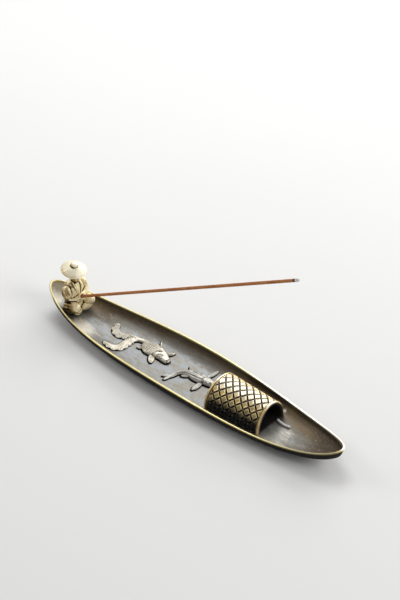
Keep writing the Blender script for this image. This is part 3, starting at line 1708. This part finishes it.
        parts = []
        for m in (-1, 1):
            far = 0.3 * m
            parts.append(sweep([(-2.5, 5.3 * m, 0, 2.2, 2.6), (0.8, 6.2 * m, 3.2, 4.3, 3.6),
                                (4.4, 6.4 * m, 5.0, 4.1, 3.5), (7.7 + far, 6.3 * m, 5.6, 3.4, 3.1),
                                (9.6 + far, 6.2 * m, 5.3, 2.2, 2.0),
                                (10.5 + far, 6.1 * m, 5.1, 0.5, 0.5)],
                               (0, 0, 1), 84, 12, drape))
            parts.append(sweep([(6.9, 7.0 * m, 4.6, 1.4, 1.4), (6.7, 5.4 * m, 2.4, 2.6, 2.6),
                                (5.4, 2.4 * m, 0.7, 2.4, 2.4), (3.8, -1.2 * m, 0, 0.8, 0.8)],
                               (0, 0, 1), 48, 10, hem))
        return parts

    def sleeves(self) -> list[Shell]:
        """Sleeves with folds at the elbow, the bare right forearm and the lapels."""

        def folds(t: Array, q: Array) -> Array:
            """Folds that bunch at the elbow and hang from the forearm."""
            bend = 0.036 * np.cos(4 * q + 1.3 * t - 1) * step(t, 0.4, 1.5)
            bunch = 0.014 * np.cos(9 * q + 4 * t) * bell(t - 2.6, 1.0)
            return (bend + bunch) * (1 - step(t, 4.2, 4.9))

        right = sweep([(-0.8, -5.2, 18.6, 1.6, 1.4), (-0.4, -6.5, 17.2, 3.2, 2.5),
                       (-0.1, -6.9, 14, 3.7, 2.5), (0.1, -6.9, 11.9, 3.3, 2.4),
                       (0.5, -6.9, 10.6, 2.1, 1.7), (0.8, -6.7, 10.2, 1.2, 1.0)],
                      (1, 0, 0.4), 84, 12, folds)
        bare = sweep([(0.2, -7.2, 10.6, 1.1, 1.1), (2.6, -5.9, 9.9, 1.15, 1.15),
                      (4.2, -4.5, 10.0, 1.05, 1.15), (4.9, -3.7, 10.2, 1.5, 1.35),
                      (5.8, -2.0, 10.9, 1.5, 1.4)], (0, 0, 1), 36, 8)
        left = sweep([(-0.5, 5.3, 18.6, 1.6, 1.4), (0.3, 6.9, 17.4, 2.9, 2.4),
                      (1.3, 7.3, 14.8, 2.9, 2.2), (2.7, 6.8, 12.8, 2.5, 2.1),
                      (4.7, 4.8, 12.0, 1.7, 1.6), (5.8, 2.0, 11.6, 1.4, 1.4)],
                     (1, 0, 0.4), 84, 12, folds)
        parts = [right, bare, left]
        for m in (-1, 1):
            parts.append(sweep([(0.8, 2.3 * m, 21.0, 0.5, 0.6), (3.3, 2.6 * m, 18.2, 1.1, 0.5),
                                (4.45, 1.2 * m, 13.8, 1.2, 0.5), (4.2, 0.0, 9.5, 0.8, 0.5)],
                               (1, 0, 0), 24, 8))
        return parts

    def hands(self) -> list[Shell]:
        """Two fists, one over the other, closed round the stick: rolls of finger and thumb."""
        axis = self.axis()
        mouth = np.asarray(self.grip, float)
        cross = np.array([-axis[2], 0, axis[0]])
        parts = [sweep([(*(mouth - 3.8 * axis), 1.9, 2.2), (*(mouth - 2.2 * axis), 2.3, 2.4),
                        (*(mouth - 0.7 * axis), 2.2, 2.3), (*(mouth - 0.1 * axis), 1.6, 1.7)],
                       (0, 0, 1), 48, 8)]

        def roll(back: float, radius: float, size: float, start: float, end: float) -> Shell:
            """A finger bent round the stick, from one bearing to another."""
            turn = np.radians(np.linspace(start, end, 24))
            line = (mouth - back * axis + radius * np.cos(turn)[:, None] * cross
                    + radius * 1.04 * np.sin(turn)[:, None] * np.array([0, 1, 0]))
            thick = size * np.sin(np.linspace(0.4, math.pi - 0.4, 24)) ** 0.35
            return sweep(np.column_stack([line, thick, thick]), (axis[0], 0.01, axis[2]), 16, 2)

        parts.append(roll(0.15, 1.75, 0.78, -150, 205))
        parts += [roll(1.3 + 1.05 * n, 2.05 - 0.04 * n, 0.62, -110, 190) for n in range(3)]
        return parts

    def carve_face(self, p: Array) -> Array:
        """Presses eye hollows, closed-lid lines and the mouth's line into the face.

        Args:
            p: Vertices from the seat.

        Returns:
            The moved vertices.
        """
        out = p.copy()
        front = step(p[:, 0], 3.0, 3.8)
        for m in (-1, 1):
            y, z = p[:, 1] - 1.42 * m, p[:, 2] - 26.85
            out[:, 0] -= 0.22 * front * bell(np.hypot(y, (z - 0.55) * 1.6), 0.75)
            lid = bell(z + 0.10 - 0.12 * y ** 2, 0.10) * bell(y, 0.62)
            out[:, 0] -= 0.16 * front * lid
        out[:, 0] -= 0.14 * front * bell(p[:, 2] - 24.46, 0.09) * bell(p[:, 1], 0.7)
        return out

    def along_stick(self, start: float, end: float, first: float, last: float) -> Shell:
        """A cone on the stick's axis, from the radius first to the radius last."""
        rows = [(*(self.mouth() + d * self.axis()), r, r) for d, r in ((start, first), (end, last))]
        return sweep(rows, (0, 1, 0), 48, 1)

    def shading(self, p: Array) -> Array:
        """How much darker each place is: the near side, the creases and the ring round the stick.

        Args:
            p: Vertices from the seat.

        Returns:
            Values from about -1.5 to 1.5.
        """
        dark = 0.35 * step(-p[:, 1], 2, 8) + 0.15 * step(4 - p[:, 2], 0, 5)
        for spot, size, amount in self.rubbed:
            dark -= amount * bell(np.linalg.norm(p - spot, axis=1), size)
        for start, end, size, amount in self.creased:
            way = np.subtract(end, start)
            t = np.clip((p - start) @ way / (way @ way), 0, 1)[:, None]
            dark += amount * bell(np.linalg.norm(p - start - t * way, axis=1), size)
        along = (p - self.grip) @ self.axis()
        off = np.linalg.norm(p - self.grip - along[:, None] * self.axis(), axis=1)
        return dark + 1.1 * step(off, 2.0, 1.55) * step(along, -3, -2)

    def build(self) -> bpy.types.Object:
        """Makes the fisherman as one fused casting, bored for the stick and the screw."""
        parts = self.robe() + self.head() + self.legs() + self.sleeves() + self.hands()
        thing = cast(parts, "fisherman_casting", self.voxel)
        p = self.carve_face(points_of(thing)) + np.asarray(self.seat)
        p[:, 2] = np.maximum(p[:, 2], self.boat.floor_z(p[:, 0], p[:, 1]) + self.gap)
        put_points(thing, p)
        cut(thing, [self.along_stick(-self.bore_depth, 6.0, self.bore, self.bore),
                    self.along_stick(-self.lead_depth, 0.7, self.bore, self.bore + self.lead_in)])
        to_metres(thing)
        shade_hollows(thing, [(4, 0.04), (20, 0.13), (90, 0.50)],
                      self.shading(points_of(thing) / MM - np.asarray(self.seat)))
        hand_over(thing, Body.BOAT, Slot.FIGURE, self.finish.material(), "fisherman")
        return thing


@dataclass
class StrawHat:
    """The wide hat: a shallow dome with a button on top, in millimetres from its seat."""

    at: Sequence[float] = (-98.3, 0.0, 38.37)
    tilt: float = math.radians(9.5)
    radius: float = 8.5
    button_r: float = 2.3
    spokes: int = 64
    crease_at: float = math.radians(236)
    finish: CastBrass | None = None

    def build(self) -> bpy.types.Object:
        """Makes the hat as a turned form with fine straw lines and one crease."""
        r = self.radius
        b = self.button_r
        key = np.array([(0, -0.28), (3.2, -0.28), (r - 1.7, -1.5), (r - 0.55, -2.0),
                        (r - 0.1, -1.9), (r, -1.62), (r - 0.15, -1.35), (r - 0.9, -0.85),
                        (r - 2.4, 0.15), (4.6, 1.1), (3.1, 1.72), (b, 1.92), (b - 0.36, 2.05),
                        (b - 0.3, 2.28), (b - 0.04, 2.62), (b, 2.92), (b - 0.14, 3.34),
                        (b - 0.55, 3.72), (1.1, 4.0), (0.5, 4.12), (0, 4.15)])
        steps = [10, 16, 8, 6, 4, 4, 6, 12, 14, 12, 8, 4, 4, 5, 4, 5, 6, 6, 5, 4]
        rows = [key[k] + (key[k + 1] - key[k]) * s
                for k, n in enumerate(steps) for s in np.linspace(0, 1, n, endpoint=False)]
        profile = np.array(rows)
        for _ in range(3):
            profile[1:-1] = (profile[:-2] + 2 * profile[1:-1] + profile[2:]) / 4
        radial = profile[1:]
        top = np.arange(len(radial)) > sum(steps[:5])

        def straw(row: Array, a: Array) -> Array:
            """Spokes of straw, a ring near the brim and a crease from the button to the brim."""
            rr = radial[:, :1]
            on = top[:, None] * step(rr, 2.5, 3.2)
            spokes = 0.02 * np.cos(self.spokes * a) * step(rr, 3.0, 6.0)
            ring = -0.05 * bell(rr - (r - 1.3), 0.22)
            off = (a - self.crease_at + math.pi) % (2 * math.pi) - math.pi
            crease = -0.13 * bell(off * rr, 0.35) * step(rr, 2.4, 3.0)
            return on * (spokes + ring + crease)

        shell = lathe(radial, 256, straw)
        c, s = math.cos(self.tilt), math.sin(self.tilt)
        turn = np.array([[c, 0, s], [0, 1, 0], [-s, 0, c]])
        thing = shell.moved(turn, np.asarray(self.at)).build("straw_hat_casting")
        p = (points_of(thing) / MM - np.asarray(self.at)) @ turn
        out = np.hypot(p[:, 0], p[:, 1])
        foot = bell(out - self.button_r - 0.05, 0.30) * (p[:, 2] < 2.5)
        left = -p[:, 1] - 0.3 * p[:, 0]
        shaded = 0.24 * step(out, r - 1.8, r) + 0.13 * step(left, 0, 8)
        shaded = shaded + 0.3 * step(left, 0.6, 2) * (out < self.button_r + 0.6) * (p[:, 2] > 1.6)
        shade_hollows(thing, [(3, 0.05), (16, 0.25), (60, 0.9)], 0.45 * foot + shaded)
        hand_over(thing, Body.BOAT, Slot.HAT, self.finish.material(), "straw_hat")
        return thing


# ---------------------------------------------------------------- the incense


EMBER_ASH = Ash("ember_ash", (0.90, 0.88, 0.85), (0.58, 0.56, 0.53))
FALLEN_ASH = Ash("fallen_ash", (1.0, 0.98, 0.96), (0.90, 0.84, 0.81))


@dataclass
class Incense:
    """The joss stick and its burnt end, in millimetres."""

    man: Fisherman
    length: float = 211.5
    gap: float = 0.06
    radius: float = 1.0
    ember: float = 3.2
    sides: int = 40
    paste: Joss = field(default_factory=Joss)
    ash: Ash = EMBER_ASH

    def along(self, s: Array, radius: Array, q: Array) -> Array:
        """Points on rings across the stick's axis.

        Args:
            s: Distance from the mouth of its hole.
            radius: Radius at (s, q).
            q: Bearing round the axis.

        Returns:
            Points as (s, q, 3).
        """
        axis = self.man.axis()
        side = np.array([0.0, 1.0, 0.0])
        up = np.cross(axis, side)
        return (self.man.mouth() + s[:, None, None] * axis
                + (radius * np.cos(q))[..., None] * side + (radius * np.sin(q))[..., None] * up)

    def build(self) -> list[bpy.types.Object]:
        """Makes the stick, a slightly uneven rod, and the ash cap on its charred end."""
        q = np.linspace(0, 2 * math.pi, self.sides, endpoint=False)[None]
        low = self.gap - self.man.bore_depth
        end = self.length - self.ember - self.man.bore_depth
        s = np.concatenate([[low, low + 0.05], np.linspace(low + 0.2, end - 0.2, 900),
                            [end - 0.05, end]])
        bumps = 0.022 * ripple(9 * np.cos(q), 9 * np.sin(q), s[:, None] * 4, 11, 2.2)
        radius = self.radius - 0.02 + bumps * np.clip(s[:, None] - 1.5, 0, 1)
        radius[0] -= 0.10
        stick = skin(self.along(s, radius, q)).build("joss_stick")
        burnt = step(s, end - 1.6, end - 0.3) + 0.75 * step(1.0 - s, 0, 1.0) * step(s, -0.6, 0)
        write_mask(stick, Mask.TONE, np.r_[np.repeat(burnt, self.sides), 0, 1])
        hand_over(stick, Body.STICK, Slot.INCENSE, self.paste.material(), "incense_stick")
        t = np.linspace(0.02, 0.995, 40) * math.pi
        along = end + 0.02 + 0.96 * self.ember * (1 - np.cos(t)) / 2
        cap = 1.03 * self.radius * np.sin(t) ** 0.42
        rough = 0.05 * ripple(4 * np.cos(q), 4 * np.sin(q), along[:, None] * 3, 5, 1.6)
        ball = skin(self.along(along, cap[:, None] * (1 + rough), q)).build("ember_cap")
        hand_over(ball, Body.STICK, Slot.ASH, self.ash.material(), "stick_ember")
        return [stick, ball]


@dataclass
class FallenAsh:
    """A curved length of ash that has dropped on the floor, in millimetres."""

    boat: Boat
    at: Sequence[float] = (66.0, 6.3)
    length: float = 10.0
    radius: float = 0.70
    lift: float = 0.12
    finish: Ash = FALLEN_ASH

    def build(self) -> bpy.types.Object:
        """Makes the ash: a bent rod, flaky round its side and broken square at its ends."""
        s = np.linspace(0, 1, 9)
        x = self.at[0] + self.length * s
        y = self.at[1] - 0.8 * s - 0.7 * np.sin(math.pi * s)
        r = self.radius * np.array([0.55, 1, 1, 0.97, 1, 1.02, 1, 1, 0.55])
        x[1], x[-2] = x[0] + 0.25, x[-1] - 0.25
        y[1], y[-2] = y[0] - 0.03, y[-1] + 0.03
        z = self.boat.floor_z(x, y) + self.radius * 1.1 + self.lift

        def flakes(t: Array, q: Array) -> Array:
            """Flakes and ring cracks."""
            rings = -0.07 * bell(((t * 3.1) % 1) - 0.5, 0.09)
            return rings + 0.07 * ripple(3 * np.cos(q), 3 * np.sin(q), t * 5, 3, 1.5)

        rows = np.stack([x, y, z, r, r], -1)
        thing = sweep(rows, (0, 0, 1), 40, 24, flakes).build("fallen_ash_rod")
        hand_over(thing, Body.BOAT, Slot.ASH, self.finish.material(), "fallen_ash")
        return thing


# ---------------------------------------------------------------- the screw


@dataclass
class FigureScrew:
    """The screw that holds the fisherman from below, which keeps the frame's own mesh."""

    finish: TurnedSteel = field(default_factory=TurnedSteel)

    def dress(self, node: bpy.types.Object) -> None:
        """Gives the screw its finish."""
        node.data.materials.clear()
        node.data.materials.append(self.finish.material())
        log.info("%s: %d faces, as in the frame", node.name, len(node.data.polygons))


# ---------------------------------------------------------------- the studio


@dataclass
class Lamp:
    """A soft rectangular lamp that looks at the object, in metres."""

    name: str
    at: Sequence[float]
    size: tuple[float, float]
    power: float
    colour: Colour = (1.0, 1.0, 1.0)
    aim: Sequence[float] = (0.0, 0.0, 0.02)

    def build(self) -> None:
        """Makes the lamp."""
        data = bpy.data.lights.new(self.name, "AREA")
        data.shape = "RECTANGLE"
        data.size, data.size_y = self.size
        data.energy = self.power
        data.color = self.colour
        lamp = bpy.data.objects.new(self.name, data)
        bpy.context.scene.collection.objects.link(lamp)
        back = unit(np.asarray(self.at, float) - np.asarray(self.aim, float))
        right = unit(np.cross((0.0, 0.0, 1.0), back))
        turn = Matrix(np.column_stack([right, np.cross(back, right), back]).tolist())
        lamp.matrix_world = Matrix.Translation(tuple(self.at)) @ turn.to_4x4()


@dataclass
class Studio:
    """Camera, floor and light."""

    bearing: float = math.radians(41.770)
    height: float = math.radians(38.499)
    distance: float = 1100.2
    focal_px: float = 1703.8
    frame_px: tuple[int, int] = (400, 600)
    aim: Sequence[float] = (-38.73, 53.61, 12.0)
    film: float = 36.0
    world: float = 0.22
    finish: StudioFloor = field(default_factory=StudioFloor)

    def camera(self) -> None:
        """Places the camera on the line from the aim, back along the view."""
        right = np.array([math.cos(self.bearing), math.sin(self.bearing), 0])
        ahead = np.array([-math.sin(self.bearing), math.cos(self.bearing), 0])
        up = np.array([0, 0, 1.0])
        view = math.cos(self.height) * ahead - math.sin(self.height) * up
        top = math.sin(self.height) * ahead + math.cos(self.height) * up
        data = bpy.data.cameras.new("camera")
        data.sensor_width = self.film
        data.lens = self.focal_px / max(self.frame_px) * self.film
        data.clip_start, data.clip_end = 0.01, 20.0
        camera = bpy.data.objects.new("camera", data)
        bpy.context.scene.collection.objects.link(camera)
        place = (np.asarray(self.aim) - self.distance * view) * MM
        turn = Matrix(np.column_stack([right, top, -view]).tolist())
        camera.matrix_world = Matrix.Translation(tuple(place)) @ turn.to_4x4()
        bpy.context.scene.camera = camera

    def floor(self) -> None:
        """Makes a wide pale floor under the object."""
        half = 4.0
        line = np.linspace(-half, half, 9)
        x, y = np.meshgrid(line, line, indexing="ij")
        n = len(line)
        i, j = np.meshgrid(np.arange(n - 1), np.arange(n - 1), indexing="ij")
        a = (i * n + j).ravel()
        faces = np.stack([a, a + n, a + n + 1, a + 1], -1)
        points = np.stack([x.ravel(), y.ravel(), np.full(x.size, -0.0002)], -1)
        sheet = Shell(points, [faces]).build("studio_floor", 1)
        sheet.data.materials.append(self.finish.material())

    def light(self) -> None:
        """Sets the lamps and the even light of the room."""
        Lamp("lamp_back", (-0.10, 1.15, 0.55), (1.3, 0.7), 11.0, (1.0, 0.99, 0.97)).build()
        Lamp("lamp_right", (1.1, 0.25, 0.8), (0.6, 0.6), 6.0).build()
        Lamp("lamp_front", (0.3, -1.1, 1.0), (0.7, 0.7), 1.0).build()
        Lamp("lamp_left", (-1.15, -0.35, 0.75), (0.6, 0.6), 4.0, (1.0, 0.97, 0.92)).build()
        Lamp("lamp_top", (-0.6, 0.5, 1.1), (0.7, 0.7), 7.0, (0.97, 0.98, 1.0)).build()
        world = bpy.data.worlds.new("room")
        bpy.context.scene.world = world
        world.use_nodes = True
        shade = world.node_tree.nodes["Background"]
        shade.inputs["Color"].default_value = (1.0, 1.0, 1.0, 1.0)
        shade.inputs["Strength"].default_value = self.world
        bpy.context.scene.view_settings.view_transform = "Standard"

    def build(self) -> None:
        """Sets up the whole studio."""
        self.camera()
        self.floor()
        self.light()


FIGURE_BRASS = CastBrass(
    "figure_brass", (1.0, 0.87, 0.55), (0.36, 0.22, 0.075), (0.020, 0.013, 0.006),
    brown_from=0.36, brown_to=0.62, clouds=0.55, metallic=0.38, roughness=0.32, bump=0.35)
HAT_BRASS = CastBrass(
    "hat_brass", (1.0, 0.93, 0.71), (0.62, 0.45, 0.20), (0.07, 0.05, 0.03),
    brown_from=0.58, brown_to=0.80, clouds=0.32, metallic=0.30, roughness=0.38)
CARP_BRASS = CastBrass(
    "carp_brass", (0.68, 0.635, 0.54), (0.20, 0.165, 0.11), (0.008, 0.007, 0.006),
    brown_from=0.44, brown_to=0.60, clouds=0.4, metallic=0.72, roughness=0.34)
GREY_BRASS = replace(CARP_BRASS, name="carp_grey_brass", bright=(0.60, 0.585, 0.54),
                     middle=(0.17, 0.155, 0.125), roughness=0.46)


def large_carp(boat: Boat) -> Carp:
    """The large carp, with its long forked tail."""
    h, f = 2.9, 1.1
    return Carp(
        boat, "carp_large_casting", "carp_large",
        body=[(-19.3, 2.6, 1.3, 1.1), (-19.9, 2.7, 2.0, 1.9), (-22.4, 3.1, 2.7, h * 0.85),
              (-26.5, 4.4, 3.9, h), (-32, 5.2, 5.1, h), (-37, 4.9, 5.5, h * 0.9),
              (-40.8, 5.8, 3.9, h * 0.75), (-43.6, 7.4, 1.7, h * 0.6), (-50.6, 5.6, 1.7, f * 1.4)],
        fins=[((-33.2, 1.7), (-27.6, -5.0), 2.0), ((-40.6, 4.4), (-44.2, 0.3), 1.3, 0.1),
              ((-27.6, 7), (-21.8, 11.5), 1.3, -0.1), ((-29.2, 8.6), (-35.8, 14.3), 0.8, 0.1)],
        lobes=[[(-48.5, 6.2, 1.5, f * 1.3), (-51.6, 3.0, 2.7, f), (-52.2, -2.0, 3.0, f),
                (-52.2, -6.0, 2.9, f), (-53.6, -9.1, 2.6, f), (-56.6, -10.9, 2.1, f),
                (-60.4, -11.0, 1.4, f), (-63.5, -10.6, 0.4, f * 0.7)],
               [(-47, 6.9, 1.2, f * 1.3), (-53.5, 6, 1.2, f), (-57.4, 2.6, 2, f),
                (-61.6, 1.2, 2.4, f), (-65.8, 3.2, 2.3, f), (-67.6, 7.0, 1.6, f),
                (-68.0, 8.4, 0.9, f * 0.8)]],
        eye=(-25.5, 1.7, 0.85), head=4.0,
        arcs=[(-28.0, 1.9, 3.5, 84, 242, 0.34), (-26.2, 1.5, 2.0, 45, 235, 0.26),
              (-21.3, 3.0, 2.0, -62, 50, 0.24)],
        rubbed=[((-52.2, -3.0), 5.0, 0.34), ((-57.0, -11.0), 4.0, 0.34),
                ((-63.0, 2.5), 5.0, 0.3), ((-30.6, -2.0), 2.6, 0.22), ((-45.0, 7.6), 3.0, 0.12),
                ((-22.5, 3.4), 3.0, 0.15), ((-20.5, 2.1), 0.4, -0.9), ((-20.3, 3.5), 0.4, -0.7)],
        voxel=0.14, finish=CARP_BRASS)


def small_carp(boat: Boat) -> Carp:
    """The small carp, whose nose reaches under the canopy's edge."""
    h, f = 2.9, 1.1
    return Carp(
        boat, "carp_small_casting", "carp_small",
        body=[(18.3, 5, 0.8, 1.0), (16.2, 5.1, 2, h * 0.7), (11, 4.9, 3.2, h * 0.9),
              (4, 4.5, 4.1, h * 0.9), (-1.2, 4.1, 3.4, h * 0.8), (-5.8, 2.6, 2.1, h * 0.6),
              (-8.5, -0.8, 1.4, f * 1.4), (-9.8, -4.6, 1.6, f * 1.2), (-10.5, -7.0, 1.3, f)],
        fins=[((8.6, 2.4), (8.5, -6.9), 1.8), ((8, 7.4), (10.5, 16.2), 1.3),
              ((-2, 5.6), (-6.8, 8.5), 1.0), ((-1, 2.2), (-5.4, -1.4), 1.2),
              ((-10.0, -5.6), (-14.0, -9.3), 0.9), ((-10.0, -6.0), (-10.7, -11.8), 1.0)],
        lobes=[], eye=(14.2, 3.9, 0.42), head=2.6, arcs=[(10.9, 4.6, 2.9, 116, 246, 0.15)],
        rubbed=[((8.5, -4.0), 2.8, 0.7), ((9.6, 13.0), 3.0, 0.5), ((-9.8, -6.5), 4.5, 0.5)],
        folds=True, finish=GREY_BRASS)


def main() -> None:
    """Builds the studio and the object's pieces in order."""
    logging.basicConfig(level=logging.INFO, format="%(name)s %(message)s")
    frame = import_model()
    Studio().build()
    boat = Boat()
    boat.build()
    man = Fisherman(boat, finish=FIGURE_BRASS)
    man.build()
    StrawHat(finish=HAT_BRASS).build()
    Incense(man).build()
    Canopy(boat).build()
    large_carp(boat).build()
    small_carp(boat).build()
    FallenAsh(boat).build()
    FigureScrew().dress(frame["nodes"]["figure_screw"])
    bpy.context.view_layer.update()


if __name__ == "__main__":
    main()
